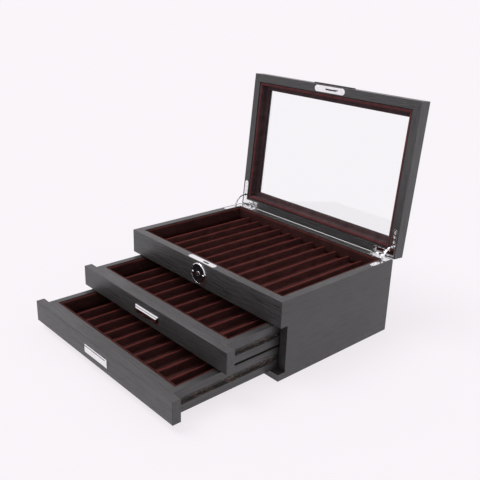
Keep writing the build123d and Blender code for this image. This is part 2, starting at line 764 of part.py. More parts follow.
# The bolt, unlocked: its nose stands left of the strike's hook.
plate_underside = body_height - lock_plate_thickness
nose_tip = hook_right - hook_stem_width - bolt_gap - bolt_travel
nose_root = hook_left - bolt_gap - bolt_travel
bolt_left = nose_root - bolt_arm_length
bolt_right = nose_root + bolt_arm_length
bolt_top = plate_underside - bolt_gap
nose_bottom = body_height - hook_reach + hook_foot_height + bolt_gap
foot_clear = body_height - hook_reach - bolt_gap
bolt_bottom = key_z + key_plug_radius + bolt_gap
notch_width = bolt_travel / 2 + 2 * bolt_gap
notch_height = finger_reach + bolt_gap
with BuildPart() as lock_bolt:
    with BuildSketch(Plane(origin=(0, lock_y, 0), x_dir=(1, 0, 0), z_dir=(0, -1, 0))):
        with BuildLine():
            Polyline(
                (bolt_left, bolt_bottom),
                (bolt_right, bolt_bottom),
                (bolt_right, foot_clear),
                (nose_root, foot_clear),
                (nose_root, nose_bottom),
                (nose_tip, nose_bottom),
                (nose_tip, bolt_top),
                (bolt_left, bolt_top),
                close=True,
            )
        make_face()
        with Locations((-bolt_travel / 2, key_z + notch_height / 2)):
            Rectangle(notch_width, notch_height, mode=Mode.SUBTRACT)
    extrude(amount=bolt_thickness / 2, both=True)
save(lock_bolt, "lock_bolt")

# ---- hinges -------------------------------------------------------------------------------

where = {-1: "left", 1: "right"}
for side in (-1, 1):
    with BuildPart() as body_leaf:
        add(body_leaves[side])
        add(body_screw_holes[side], mode=Mode.SUBTRACT)
    save(body_leaf, f"hinge_body_leaf_{where[side]}")
    with BuildPart() as lid_leaf:
        add(lid_leaves[side])
        add(lid_screw_holes[side], mode=Mode.SUBTRACT)
    save(lid_leaf, f"hinge_lid_leaf_{where[side]}")
    with BuildPart() as stay_arm:
        mid_plane = Plane(origin=(side * stay_x, hinge_y, hinge_z), x_dir=(0, 1, 0), z_dir=(1, 0, 0))
        with BuildSketch(mid_plane):
            with BuildLine():
                inner = stay_radius - stay_height / 2
                outer = stay_radius + stay_height / 2
                stay_sweep = stay_last_angle - stay_first_angle
                near_arc = CenterArc((0, 0), inner, stay_first_angle, stay_sweep)
                far_arc = CenterArc((0, 0), outer, stay_first_angle, stay_sweep)
                Line(near_arc @ 0, far_arc @ 0)
                Line(near_arc @ 1, far_arc @ 1)
            make_face()
        extrude(amount=stay_thickness / 2, both=True)
    stay_arm.part = half_swing * stay_arm.part
    save(stay_arm, f"stay_arm_{where[side]}")

with BuildPart() as body_hinge_screws:
    for side in (-1, 1):
        add(rim_place * make_hinge_screws(side, -1, True))
save(body_hinge_screws, "hinge_body_screws")

with BuildPart() as lid_hinge_screws:
    for side in (-1, 1):
        add(lid_place * make_hinge_screws(side, 1, True))
save(lid_hinge_screws, "hinge_lid_screws")

with BuildPart() as hinge_pins:
    for side in (-1, 1):
        outer_end = half_width - knuckle_inset - knuckle_gap / 2
        inner_end = half_width - knuckle_inset - knuckle_zone + knuckle_gap / 2
        middle = side * (outer_end + inner_end) / 2
        with Locations(Location((middle, hinge_y, hinge_z), (0, 90, 0))):
            Cylinder(hinge_pin_radius, outer_end - inner_end)
        for end in (outer_end + pin_head_length / 2, inner_end - pin_head_length / 2):
            with Locations(Location((side * end, hinge_y, hinge_z), (0, 90, 0))):
                Cylinder(pin_head_radius, pin_head_length)
save(hinge_pins, "hinge_pins")

# ---- lid ----------------------------------------------------------------------------------


def save_rail(name, wall_points, flange_points, cutters):
    """One mitred lid rail: a wall with a flange over the glass, less what is let into it."""
    with BuildPart() as rail:
        with BuildSketch(lid_plane):
            with BuildLine():
                Polyline(*wall_points, close=True)
            make_face()
        extrude(amount=lid_height)
        with BuildSketch(lid_plane.offset(flange_base)):
            with BuildLine():
                Polyline(*flange_points, close=True)
            make_face()
        extrude(amount=flange_thickness)
        for cutter in cutters:
            add(cutter, mode=Mode.SUBTRACT)
    save(rail, name)


strike_screw_holes = lid_place * make_plate_screws(strike_screw_spacing, 1, False)
with BuildPart() as strike_screws:
    add(lid_place * make_plate_screws(strike_screw_spacing, 1, True))
save(strike_screws, "strike_screws")

with BuildPart() as strike_blank:
    with BuildSketch(lid_plane):
        with Locations((0, lock_y)):
            SlotOverall(strike_length, strike_width)
    extrude(amount=strike_thickness)

with BuildPart() as strike_plate:
    add(strike_blank.part)
    with BuildSketch(lid_plane):
        with Locations(((strike_window_left + strike_window_right) / 2, lock_y)):
            Rectangle(strike_window_right - strike_window_left, strike_window_width)
    extrude(amount=strike_thickness, mode=Mode.SUBTRACT)
    add(strike_screw_holes, mode=Mode.SUBTRACT)
save(strike_plate, "strike_plate")

hook_plane = Plane(lid_place * Location((0, lock_y, 0)) * Rotation(90, 0, 0))
with BuildPart() as strike_hook:
    with BuildSketch(hook_plane):
        with BuildLine():
            Polyline(
                (hook_left, -hook_reach),
                (hook_right, -hook_reach),
                (hook_right, 2 * strike_thickness),
                (hook_right - hook_stem_width, 2 * strike_thickness),
                (hook_right - hook_stem_width, -hook_reach + hook_foot_height),
                (hook_left, -hook_reach + hook_foot_height),
                close=True,
            )
        make_face()
    extrude(amount=hook_thickness / 2, both=True)
    with BuildSketch(lid_plane.offset(strike_thickness)):
        with Locations((hook_right - hook_stem_width / 2, lock_y)):
            Rectangle(hook_stem_width, strike_window_width + 2 * hook_flange)
    extrude(amount=strike_thickness)
save(strike_hook, "strike_hook")

with BuildPart() as strike_pocket:
    with BuildSketch(lid_plane.offset(strike_thickness)):
        with Locations(((strike_window_left + strike_window_right) / 2, lock_y)):
            Rectangle(strike_window_right - strike_window_left, strike_window_width)
    extrude(amount=strike_pocket_depth)

front_cutters = [strike_blank.part, strike_hook.part, strike_pocket.part, strike_screw_holes]
back_cutters = []
for side in (-1, 1):
    back_cutters += [lid_leaves[side], lid_screw_holes[side], lid_pockets[side]]
for side, name, cutters in (
    (-1, "lid_front_rail", front_cutters),
    (1, "lid_back_rail", back_cutters),
):
    save_rail(
        name,
        frame_end(side, chest_width, chest_depth, lid_wall),
        frame_end(side, chest_width, chest_depth, flange_width),
        cutters,
    )
for side in (-1, 1):
    save_rail(
        f"lid_side_rail_{where[side]}",
        frame_side(side, chest_width, chest_depth, lid_wall),
        frame_side(side, chest_width, chest_depth, flange_width),
        [lid_leaves[side], lid_screw_holes[side], lid_pockets[side]],
    )

glass_half_width = half_width - lid_wall - glass_edge_gap
glass_half_depth = half_depth - lid_wall - glass_edge_gap
with BuildPart() as glass_pane:
    with BuildSketch(lid_plane.offset(glass_base)):
        Rectangle(2 * glass_half_width, 2 * glass_half_depth)
    extrude(amount=glass_thickness)
save(glass_pane, "glass_pane")

lid_inner_width = chest_width - 2 * lid_wall
lid_inner_depth = chest_depth - 2 * lid_wall
lid_strip_x = (lid_inner_width - lid_lining_thickness) / 2
lid_strip_y = (lid_inner_depth - lid_lining_thickness) / 2
lid_foot_width = flange_width - lid_wall - lid_foot_edge_gap
lid_foot_x = (lid_inner_width - lid_foot_width) / 2
lid_foot_y = (lid_inner_depth - lid_foot_width) / 2
with BuildPart() as lid_lining:
    with BuildSketch(lid_plane.offset(lining_drop)):
        with Locations((-lid_strip_x, 0), (lid_strip_x, 0)):
            Rectangle(lid_lining_thickness, lid_inner_depth)
        with Locations((0, -lid_strip_y), (0, lid_strip_y)):
            Rectangle(lid_inner_width - 2 * (lid_lining_thickness + lining_seam), lid_lining_thickness)
    extrude(amount=glass_base - lining_drop)
    with BuildSketch(lid_plane.offset(glass_base)):
        with Locations((-lid_foot_x, 0), (lid_foot_x, 0)):
            Rectangle(lid_foot_width, lid_inner_depth - 2 * (lid_lining_thickness + lining_seam))
        with Locations((0, -lid_foot_y), (0, lid_foot_y)):
            Rectangle(lid_inner_width - 2 * (lid_foot_width + lining_seam), lid_foot_width)
    extrude(amount=-lid_foot_thickness)
save(lid_lining, "lid_lining")

lip_plane = Plane(lid_place * Location((0, -half_depth, thumb_lip_rise)))
with BuildPart() as thumb_lip:
    with BuildSketch(lip_plane):
        with Locations((0, -thumb_lip_reach / 2)):
            Rectangle(thumb_lip_length, thumb_lip_reach)
    extrude(amount=thumb_lip_height)
save(thumb_lip, "thumb_lip")
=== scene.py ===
"""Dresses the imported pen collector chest: open-pore black wood, maroon velvet, bright fittings
and a glazed lid, on a plain pale floor, seen from the front right and above.

Lengths are in metres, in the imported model's frame: X to the right, Y to the back, Z up.
"""

import math

import bpy
from bpy.props import FloatProperty, FloatVectorProperty, PointerProperty
from mathutils import Euler, Matrix, Vector, noise


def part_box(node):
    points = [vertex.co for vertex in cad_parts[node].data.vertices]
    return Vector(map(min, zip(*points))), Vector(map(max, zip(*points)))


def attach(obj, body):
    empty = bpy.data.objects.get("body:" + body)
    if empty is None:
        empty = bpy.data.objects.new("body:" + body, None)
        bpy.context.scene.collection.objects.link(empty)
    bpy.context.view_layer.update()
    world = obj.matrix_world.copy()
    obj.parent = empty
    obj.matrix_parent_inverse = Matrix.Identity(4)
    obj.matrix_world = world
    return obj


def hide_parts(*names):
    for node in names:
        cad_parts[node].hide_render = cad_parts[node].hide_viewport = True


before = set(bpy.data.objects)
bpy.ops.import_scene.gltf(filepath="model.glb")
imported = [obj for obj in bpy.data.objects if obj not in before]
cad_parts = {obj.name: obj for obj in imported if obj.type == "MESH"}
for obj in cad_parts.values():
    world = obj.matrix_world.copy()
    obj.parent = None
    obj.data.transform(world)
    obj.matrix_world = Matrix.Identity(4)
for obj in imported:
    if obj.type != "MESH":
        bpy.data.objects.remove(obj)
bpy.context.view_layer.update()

bl_info = {
    "name": "Pen Collector Chest",
    "version": (1, 0, 0),
    "blender": (4, 5, 0),
    "location": "View3D > Sidebar > Pen Chest",
    "description": "Finishes and velvet for a pen chest with a glazed lid and sliding drawers",
    "category": "Object",
}

# Where the lid turns, and how far it stands open in the stored pose.
HINGE = Vector((0.0, 0.1112, 0.1092))
LID_OPEN = math.radians(95.5)

# The body that each tray belongs to, and how many pen slots it has.
TRAYS = {
    "top_tray": "case",
    "middle_drawer": "middle_drawer",
    "bottom_drawer": "bottom_drawer",
}
SLOTS = {"top_tray": 12, "middle_drawer": 11, "bottom_drawer": 11}
DIVIDER_THICKNESS = 0.0042

# Velvet ribs: how far their ends run into the walls and droop there, how far their feet go
# below the floor, how steeply the cloth sweeps up from it, and how much they swell.
RIB_TUCK = 0.0008
RIB_DROOP = 0.0008
RIB_DROOP_REACH = 0.004
RIB_SUNK = 0.0006
RIB_SWEEP = 1.4
RIB_SWELL = 0.05
# The painted highlight along a rib's top: how far below the top it starts, and how it fades in.
RIB_HIGHLIGHT_DEPTH = 0.00030
RIB_HIGHLIGHT_FADE = 0.00022

# Velvet floors: over what length the crown flattens at a rib's end, how far the floor lies
# below the pad's top, and how far and over what width its outer edge rolls down.
CROWN_END = 0.012
FLOOR_SINK = 0.0002
FLOOR_ROLL = 0.0009
FLOOR_ROLL_REACH = 0.0012

# Velvet walls: thickness, radius of the rolled top edge, and the cut-off edge behind it as
# depths and drops. Then how the cloth is drawn in at a corner, how far from a corner it starts
# to wave, the spacing of the sections along it, and how far down the painted highlight reaches.
WALL_THICKNESS = 0.005
WALL_ROLL = 0.0022
WALL_BACK_EDGE = ((0.0, 0.0012), (0.0004, 0.0004), (0.0011, 0.0))
CORNER_TUCK = 0.0007
CORNER_REACH = 0.0012
WAVE_REACH = 0.01
WALL_STEP = 0.012
CORNER_STEPS = (0.0012, 0.003, 0.006)
WALL_HIGHLIGHT_DEPTH = 0.0010

# The lid's strip, with the lid shut: its size, the ledge at its foot, and the glass's height.
LID_STRIP_HALF_WIDTH = 0.148
LID_STRIP_HALF_DEPTH = 0.098
LID_STRIP_THICKNESS = 0.0052
LID_STRIP_HEIGHT = 0.0130
LID_STRIP_ROLL = 0.0020
LID_LEDGE = [(0.0053, 0.0024), (0.0060, 0.0016), (0.0090, 0.0015), (0.0119, 0.0013), (0.0124, 0.0)]
GLASS_HEIGHT = 0.1250

# Runner grooves in the drawer sides: half their height, how far in from the side's face the
# chips reach, and the skin of that face that stays whole.
GROOVE_HALF_HEIGHT = 0.0047
GROOVE_REACH = 0.0070
GROOVE_SKIN = 0.0001
CHIPS_PER_METRE = 520.0
CHIP_PATCHES_PER_METRE = 38.0

# Finishes that no setting changes.
BLUED_STEEL = (0.055, 0.055, 0.060)
ENAMEL = (0.008, 0.008, 0.009, 1.0)
DUSTY_ENAMEL = (0.016, 0.016, 0.018, 1.0)
CLEAR_GLASS = (0.97, 0.985, 0.98, 1.0)
# Tint of the sheen on the lid's strip.
LID_SHEEN_TINT = (0.55, 0.40, 0.42)
# Painted shade: the wall strips take this share of the velvet's colour, for the shade inside the
# trays.
WALL_PAINTED_SHADE = 0.55
METAL_EDGE = 0.0004

# Stage: half the floor's width, its paint and how much even colour covers it in view, the
# light's direction and spread, the screen's foot and top as elevations, and the camera's
# place and its turn in degrees.
FLOOR_REACH = 60.0
FLOOR_PAINT = (0.80, 0.79, 0.82, 1.0)
FLOOR_GLOW = 0.80
KEY_DIRECTION = (0.34, 0.30, -0.89)
KEY_SPREAD = math.radians(35)
SCREEN_FOOT = math.radians(5)
SCREEN_TOP = math.radians(15)
CAMERA_PLACE = (0.66753, -0.64628, 0.47093)
CAMERA_TURN = (69.0862, -1.7184, 48.2048)


# ---- what a user may change ---------------------------------------------------------------


class ChestFinishes(bpy.types.PropertyGroup):
    """Colours of the chest's finishes."""

    wood: FloatVectorProperty(
        name="Wood stain",
        description="Colour of the stained wood between its pores",
        subtype="COLOR",
        size=3,
        min=0.0,
        max=1.0,
        default=(0.0235, 0.0220, 0.0225),
    )
    pore: FloatVectorProperty(
        name="Wood pores",
        description="Colour down in the open pores",
        subtype="COLOR",
        size=3,
        min=0.0,
        max=1.0,
        default=(0.006, 0.0052, 0.0052),
    )
    bare_wood: FloatVectorProperty(
        name="Bare wood",
        description="Colour of the wood where the runners have chipped the stain",
        subtype="COLOR",
        size=3,
        min=0.0,
        max=1.0,
        default=(0.200, 0.145, 0.120),
    )
    velvet: FloatVectorProperty(
        name="Velvet",
        description="Colour of the velvet's pile",
        subtype="COLOR",
        size=3,
        min=0.0,
        max=1.0,
        default=(0.082, 0.0310, 0.0290),
    )
    # Painted highlight: brighter red along rib tops and rolled edges, where the pile catches light.
    velvet_fold_highlight: FloatVectorProperty(
        name="Velvet folds",
        description="Colour where the pile opens over a folded edge",
        subtype="COLOR",
        size=3,
        min=0.0,
        max=1.0,
        default=(0.158, 0.022, 0.019),
    )
    # Painted sheen: a greyer colour that stands in for the pile's grey sheen at a grazing angle.
    lid_velvet: FloatVectorProperty(
        name="Lid velvet",
        description="Colour of the velvet strip in the lid, which is rubbed greyer",
        subtype="COLOR",
        size=3,
        min=0.0,
        max=1.0,
        default=(0.072, 0.043, 0.046),
    )
    velvet_sheen: FloatVectorProperty(
        name="Velvet sheen",
        description="Colour of the light that the tips of the pile catch",
        subtype="COLOR",
        size=3,
        min=0.0,
        max=1.0,
        default=(0.80, 0.16, 0.11),
    )
    plating: FloatVectorProperty(
        name="Plating",
        description="Colour of the polished fittings",
        subtype="COLOR",
        size=3,
        min=0.0,
        max=1.0,
        default=(0.90, 0.90, 0.91),
    )


class VelvetSizes(bpy.types.PropertyGroup):
    """How full the velvet parts are."""

    rib_width: FloatProperty(
        name="Rib width",
        description="Thickness of a covered divider above its foot",
        subtype="DISTANCE",
        unit="LENGTH",
        min=0.002,
        max=0.006,
        default=0.0031,
    )
    rib_foot: FloatProperty(
        name="Rib foot",
        description="How far the cloth runs out on each side of a divider's foot",
        subtype="DISTANCE",
        unit="LENGTH",
        min=0.0,
        max=0.003,
        default=0.0011,
    )
    floor_crown: FloatProperty(
        name="Slot crown",
        description="How far the floor of a slot rises between two dividers",
        subtype="DISTANCE",
        unit="LENGTH",
        min=0.0,
        max=0.002,
        default=0.0007,
    )
    wall_bulge: FloatProperty(
        name="Wall bulge",
        description="How far a wall strip swells at half height",
        subtype="DISTANCE",
        unit="LENGTH",
        min=0.0,
        max=0.001,
        default=0.00035,
    )
    unevenness: FloatProperty(
        name="Unevenness",
        description="Largest hand-made departure of a velvet surface from true",
        subtype="DISTANCE",
        unit="LENGTH",
        min=0.0,
        max=0.001,
        default=0.00022,
    )


class StageSettings(bpy.types.PropertyGroup):
    """The floor, lights and camera."""

    floor_colour: FloatVectorProperty(
        name="Floor",
        description="Colour that the camera sees on the floor and behind it",
        subtype="COLOR",
        size=3,
        min=0.0,
        max=1.0,
        default=(0.968, 0.926, 0.965),
    )
    sky_strength: FloatProperty(
        name="Soft light",
        description="Strength of the even light from all round",
        min=0.0,
        max=2.0,
        default=0.66,
    )
    screen_strength: FloatProperty(
        name="Grey screen",
        description="Brightness of the low screen in front that polished metal mirrors",
        min=0.0,
        max=1.0,
        default=0.30,
    )
    key_strength: FloatProperty(
        name="Key light",
        description="Strength of the broad light from above",
        min=0.0,
        max=5.0,
        default=1.5,
    )
    focal_length: FloatProperty(
        name="Focal length",
        description="Camera lens in millimetres for a 36 mm wide frame",
        min=20.0,
        max=120.0,
        default=51.06,
    )


# ---- shader building ----------------------------------------------------------------------


def feed(tree, socket, value):
    """Link a socket to another node's output, or give it a plain value."""
    if isinstance(value, bpy.types.NodeSocket):
        tree.links.new(value, socket)
    else:
        socket.default_value = value


def place(tree, kind, values=None, **settings):
    """A new node with settings on the node and values on its inputs."""
    node = tree.nodes.new(kind)
    for key, value in settings.items():
        setattr(node, key, value)
    for key, value in (values or {}).items():
        feed(tree, node.inputs[key], value)
    return node


def maths(tree, operation, *values):
    """The output of a Math node."""
    node = place(tree, "ShaderNodeMath", dict(enumerate(values)), operation=operation)
    return node.outputs[0]


def stretch(tree, vector, scale):
    """Coordinates multiplied along each axis."""
    node = place(tree, "ShaderNodeVectorMath", {0: vector, 1: scale}, operation="MULTIPLY")
    return node.outputs[0]


def blend_colours(tree, factor, first, second, mode="MIX"):
    """The colour output of a Mix node."""
    node = place(tree, "ShaderNodeMix", data_type="RGBA", blend_type=mode)
    for index, value in ((0, factor), (6, first), (7, second)):
        feed(tree, node.inputs[index], value)
    return node.outputs[2]


def spread(tree, value, low, high, new_low, new_high):
    """A value moved from one range to another, held at its ends."""
    node = place(
        tree,
        "ShaderNodeMapRange",
        {"Value": value, "From Min": low, "From Max": high, "To Min": new_low, "To Max": new_high},
    )
    return node.outputs[0]


def cloud(tree, vector, scale, detail, roughness=0.5, distortion=0.0):
    """The factor of a Noise texture."""
    node = place(
        tree,
        "ShaderNodeTexNoise",
        {
            "Vector": vector,
            "Scale": scale,
            "Detail": detail,
            "Roughness": roughness,
            "Distortion": distortion,
        },
    )
    return node.outputs[0]


def group_tree(name, inputs, outputs):
    """An empty shader group with its sockets, and its two end nodes."""
    tree = bpy.data.node_groups.new(name, "ShaderNodeTree")
    for label, kind, default in inputs:
        socket = tree.interface.new_socket(name=label, in_out="INPUT", socket_type=kind)
        if default is not None:
            socket.default_value = default
    for label, kind in outputs:
        tree.interface.new_socket(name=label, in_out="OUTPUT", socket_type=kind)
    return tree, tree.nodes.new("NodeGroupInput"), tree.nodes.new("NodeGroupOutput")


def grain_group():
    """Open-pore grain that runs along the first axis of the coordinates it is given."""
    tree, into, out = group_tree(
        "open_pore_grain",
        [
            ("Vector", "NodeSocketVector", None),
            ("Band Width", "NodeSocketFloat", 0.006),
            ("Pore Width", "NodeSocketFloat", 0.0013),
        ],
        [("Band", "NodeSocketFloat"), ("Pore", "NodeSocketFloat"), ("Height", "NodeSocketFloat")],
    )
    vector = into.outputs["Vector"]
    band_scale = maths(tree, "DIVIDE", 1.0, into.outputs["Band Width"])
    pore_scale = maths(tree, "DIVIDE", 1.0, into.outputs["Pore Width"])
    broad = cloud(tree, stretch(tree, vector, (0.05, 1.0, 1.0)), band_scale, 3.0, 0.55, 0.35)
    fine_scale = maths(tree, "MULTIPLY", band_scale, 3.1)
    fine = cloud(tree, stretch(tree, vector, (0.035, 1.0, 1.0)), fine_scale, 2.0, 0.6)
    broad_share = maths(tree, "MULTIPLY", broad, 0.6)
    bands = maths(tree, "ADD", broad_share, maths(tree, "MULTIPLY", fine, 0.4))
    band = spread(tree, bands, 0.36, 0.64, 0.0, 1.0)
    dashes = cloud(tree, stretch(tree, vector, (0.045, 1.0, 1.0)), pore_scale, 1.0, 0.4)
    dash = spread(tree, dashes, 0.50, 0.62, 0.0, 1.0)
    pore = maths(tree, "MULTIPLY", dash, spread(tree, band, 0.0, 1.0, 1.0, 0.45))
    height = maths(tree, "SUBTRACT", maths(tree, "MULTIPLY", band, 0.25), pore)
    tree.links.new(band, out.inputs["Band"])
    tree.links.new(pore, out.inputs["Pore"])
    tree.links.new(height, out.inputs["Height"])
    return tree


def nap_group():
    """Brushed patches and single tufts of a pile."""
    tree, into, out = group_tree(
        "velvet_nap",
        [
            ("Vector", "NodeSocketVector", None),
            ("Patch Size", "NodeSocketFloat", 0.012),
            ("Tuft Size", "NodeSocketFloat", 0.0006),
        ],
        [("Patch", "NodeSocketFloat"), ("Tuft", "NodeSocketFloat")],
    )
    vector = into.outputs["Vector"]
    patch_scale = maths(tree, "DIVIDE", 1.0, into.outputs["Patch Size"])
    tuft_scale = maths(tree, "DIVIDE", 1.0, into.outputs["Tuft Size"])
    patches = cloud(tree, stretch(tree, vector, (1.0, 0.45, 1.0)), patch_scale, 3.0, 0.55, 0.6)
    tufts = cloud(tree, vector, tuft_scale, 1.0, 0.5)
    tree.links.new(spread(tree, patches, 0.35, 0.65, 0.0, 1.0), out.inputs["Patch"])
    tree.links.new(spread(tree, tufts, 0.3, 0.7, 0.0, 1.0), out.inputs["Tuft"])
    return tree


def wear_group():
    """Faint smears and hairlines from handling and polishing."""
    tree, into, out = group_tree(
        "handled_surface",
        [
            ("Vector", "NodeSocketVector", None),
            ("Smear Size", "NodeSocketFloat", 0.02),
            ("Hairline Size", "NodeSocketFloat", 0.0004),
        ],
        [("Smear", "NodeSocketFloat"), ("Hairline", "NodeSocketFloat")],
    )
    vector = into.outputs["Vector"]
    smear_scale = maths(tree, "DIVIDE", 1.0, into.outputs["Smear Size"])
    line_scale = maths(tree, "DIVIDE", 1.0, into.outputs["Hairline Size"])
    smears = cloud(tree, vector, smear_scale, 4.0, 0.6, 0.8)
    lines = cloud(tree, stretch(tree, vector, (0.06, 1.0, 1.0)), line_scale, 2.0, 0.5)
    tree.links.new(spread(tree, smears, 0.35, 0.7, 0.0, 1.0), out.inputs["Smear"])
    tree.links.new(spread(tree, lines, 0.3, 0.7, 0.0, 1.0), out.inputs["Hairline"])
    return tree


def eased_group():
    """A normal that rolls over sharp edges, as sanding leaves them."""
    tree, into, out = group_tree(
        "eased_edges",
        [("Radius", "NodeSocketFloat", 0.0006)],
        [("Normal", "NodeSocketVector")],
    )
    bevel = place(tree, "ShaderNodeBevel", {"Radius": into.outputs["Radius"]}, samples=6)
    tree.links.new(bevel.outputs["Normal"], out.inputs["Normal"])
    return tree


def use(tree, group, values=None):
    """A shader group placed in a material."""
    node = tree.nodes.new("ShaderNodeGroup")
    node.node_tree = group
    for key, value in (values or {}).items():
        feed(tree, node.inputs[key], value)
    return node


def new_material(name, **shader):
    """An empty node material and its Principled shader, with plain values on its sockets."""
    material = bpy.data.materials.new(name)
    material.use_nodes = True
    tree = material.node_tree
    tree.nodes.clear()
    principled = tree.nodes.new("ShaderNodeBsdfPrincipled")
    for key, value in shader.items():
        principled.inputs[key.replace("_", " ")].default_value = value
    output = tree.nodes.new("ShaderNodeOutputMaterial")
    tree.links.new(principled.outputs[0], output.inputs["Surface"])
    return material, tree, principled


def shared_groups():
    """The effect groups, built once."""
    makers = {
        "open_pore_grain": grain_group,
        "velvet_nap": nap_group,
        "handled_surface": wear_group,
        "eased_edges": eased_group,
    }
    for name, make in makers.items():
        if name not in bpy.data.node_groups:
            make()
    return bpy.data.node_groups


def own_coordinates(tree):
    """The piece's own coordinates, in metres, which it keeps wherever it moves."""
    return tree.nodes.new("ShaderNodeTexCoord").outputs["Object"]


def opaque(colour):
    """A colour property as a socket's four numbers."""
    return (*colour[:3], 1.0)


def turned(tree, vector, angles):
    """Coordinates turned by Euler angles."""
    node = place(tree, "ShaderNodeMapping", {"Vector": vector, "Rotation": angles})
    return node.outputs["Vector"]


def wood_material(name, finishes, angles, groove=None, figure=1.0):
    """Black open-pore wood with its grain along X once the coordinates are turned.

    figure is how strongly the bands of the grain stand out.
    groove holds the lowest and highest Z of a runner groove that is chipped inside, and how
    far out along X it begins."""
    groups = shared_groups()
    material, tree, shader = new_material(name, Specular_IOR_Level=0.80)
    vector = own_coordinates(tree)
    grain = use(tree, groups["open_pore_grain"], {"Vector": turned(tree, vector, angles)})
    handled = use(tree, groups["handled_surface"], {"Vector": vector, "Smear Size": 0.05})
    eased = use(tree, groups["eased_edges"])
    light = [min(1.0, (1.0 + 0.40 * figure) * c) for c in finishes.wood]
    colour = blend_colours(tree, grain.outputs["Band"], opaque(finishes.wood), opaque(light))
    pore = maths(tree, "MULTIPLY", grain.outputs["Pore"], 0.8)
    colour = blend_colours(tree, pore, colour, opaque(finishes.pore))
    roughness = spread(tree, grain.outputs["Band"], 0.0, 1.0, 0.40, 0.40 - 0.05 * figure)
    smeared = maths(tree, "MULTIPLY", handled.outputs["Smear"], 0.06)
    roughness = maths(tree, "ADD", roughness, smeared)
    if groove:
        low, high, face_x = groove
        parts = place(tree, "ShaderNodeSeparateXYZ", {0: vector})
        in_height = maths(
            tree,
            "MULTIPLY",
            maths(tree, "GREATER_THAN", parts.outputs["Z"], low),
            maths(tree, "LESS_THAN", parts.outputs["Z"], high),
        )
        across = maths(tree, "ABSOLUTE", parts.outputs["X"])
        inside = maths(tree, "LESS_THAN", across, face_x)
        near_face = maths(tree, "GREATER_THAN", across, face_x - GROOVE_REACH)
        mask = maths(tree, "MULTIPLY", in_height, maths(tree, "MULTIPLY", inside, near_face))
        chips = cloud(tree, stretch(tree, vector, (1.0, 0.30, 1.0)), CHIPS_PER_METRE, 2.0, 0.6)
        patches = cloud(tree, vector, CHIP_PATCHES_PER_METRE, 1.0)
        chipped = spread(tree, chips, 0.52, 0.58, 0.0, 1.0)
        chipped = maths(tree, "MULTIPLY", chipped, spread(tree, patches, 0.42, 0.55, 0.25, 1.0))
        chipped = maths(tree, "MULTIPLY", mask, maths(tree, "ADD", chipped, 0.06))
        colour = blend_colours(tree, chipped, colour, opaque(finishes.bare_wood))
        roughness = maths(tree, "ADD", roughness, maths(tree, "MULTIPLY", mask, 0.22))
    tree.links.new(colour, shader.inputs["Base Color"])
    tree.links.new(roughness, shader.inputs["Roughness"])
    bump = place(
        tree,
        "ShaderNodeBump",
        {
            "Strength": 0.75 * figure,
            "Distance": 0.00035,
            "Height": grain.outputs["Height"],
            "Normal": eased.outputs["Normal"],
        },
    )
    tree.links.new(bump.outputs["Normal"], shader.inputs["Normal"])
    return material


def velvet_material(name, finishes, pile, sheen):
    """Short pile with brushed patches, brighter where it is seen edge on."""
    groups = shared_groups()
    material, tree, shader = new_material(
        name,
        Specular_IOR_Level=0.05,
        Sheen_Weight=0.20,
        Sheen_Roughness=0.35,
        Sheen_Tint=opaque(sheen),
    )
    nap = use(tree, groups["velvet_nap"], {"Vector": own_coordinates(tree)})
    deep = [0.55 * c for c in pile]
    bright = [1.4 * c for c in pile]
    colour = blend_colours(tree, nap.outputs["Patch"], opaque(deep), opaque(pile))
    tuft = maths(tree, "MULTIPLY", nap.outputs["Tuft"], 0.45)
    colour = blend_colours(tree, tuft, colour, opaque(bright))
    # Painted highlight: the fold attribute mixes in the brighter red where edges catch the light.
    fold = tree.nodes.new("ShaderNodeAttribute")
    fold.attribute_name = "fold"
    brushed = spread(tree, nap.outputs["Patch"], 0.0, 1.0, 0.55, 1.0)
    painted_highlight = maths(tree, "MULTIPLY", fold.outputs["Fac"], brushed)
    colour = blend_colours(tree, painted_highlight, colour, opaque(finishes.velvet_fold_highlight))
    tree.links.new(colour, shader.inputs["Base Color"])
    roughness = spread(tree, nap.outputs["Patch"], 0.0, 1.0, 0.95, 0.80)
    tree.links.new(roughness, shader.inputs["Roughness"])
    bump = place(
        tree, "ShaderNodeBump", {"Strength": 0.5, "Distance": 0.0003, "Height": nap.outputs["Tuft"]}
    )
    tree.links.new(bump.outputs["Normal"], shader.inputs["Normal"])
    return material


def metal_material(name, colour, low_roughness, high_roughness, hairline_depth):
    """Plated or bright metal with faint smears and hairlines."""
    groups = shared_groups()
    material, tree, shader = new_material(name, Metallic=1.0)
    vector = own_coordinates(tree)
    handled = use(tree, groups["handled_surface"], {"Vector": vector})
    eased = use(tree, groups["eased_edges"], {"Radius": METAL_EDGE})
    smear = handled.outputs["Smear"]
    dulled = opaque([0.88 * c for c in colour])
    tree.links.new(blend_colours(tree, smear, opaque(colour), dulled), shader.inputs["Base Color"])
    roughness = spread(tree, smear, 0.0, 1.0, low_roughness, high_roughness)
    tree.links.new(roughness, shader.inputs["Roughness"])
    bump = place(
        tree,
        "ShaderNodeBump",
        {
            "Strength": 0.2,
            "Distance": hairline_depth,
            "Height": handled.outputs["Hairline"],
            "Normal": eased.outputs["Normal"],
        },
    )
    tree.links.new(bump.outputs["Normal"], shader.inputs["Normal"])
    return material


def enamel_material(name):
    """Gloss near-black with a trace of dust."""
    groups = shared_groups()
    material, tree, shader = new_material(name, Coat_Weight=0.6, Coat_Roughness=0.04)
    vector = own_coordinates(tree)
    handled = use(tree, groups["handled_surface"], {"Vector": vector, "Smear Size": 0.006})
    smear = handled.outputs["Smear"]
    tree.links.new(blend_colours(tree, smear, ENAMEL, DUSTY_ENAMEL), shader.inputs["Base Color"])
    tree.links.new(spread(tree, smear, 0.0, 1.0, 0.10, 0.22), shader.inputs["Roughness"])
    return material


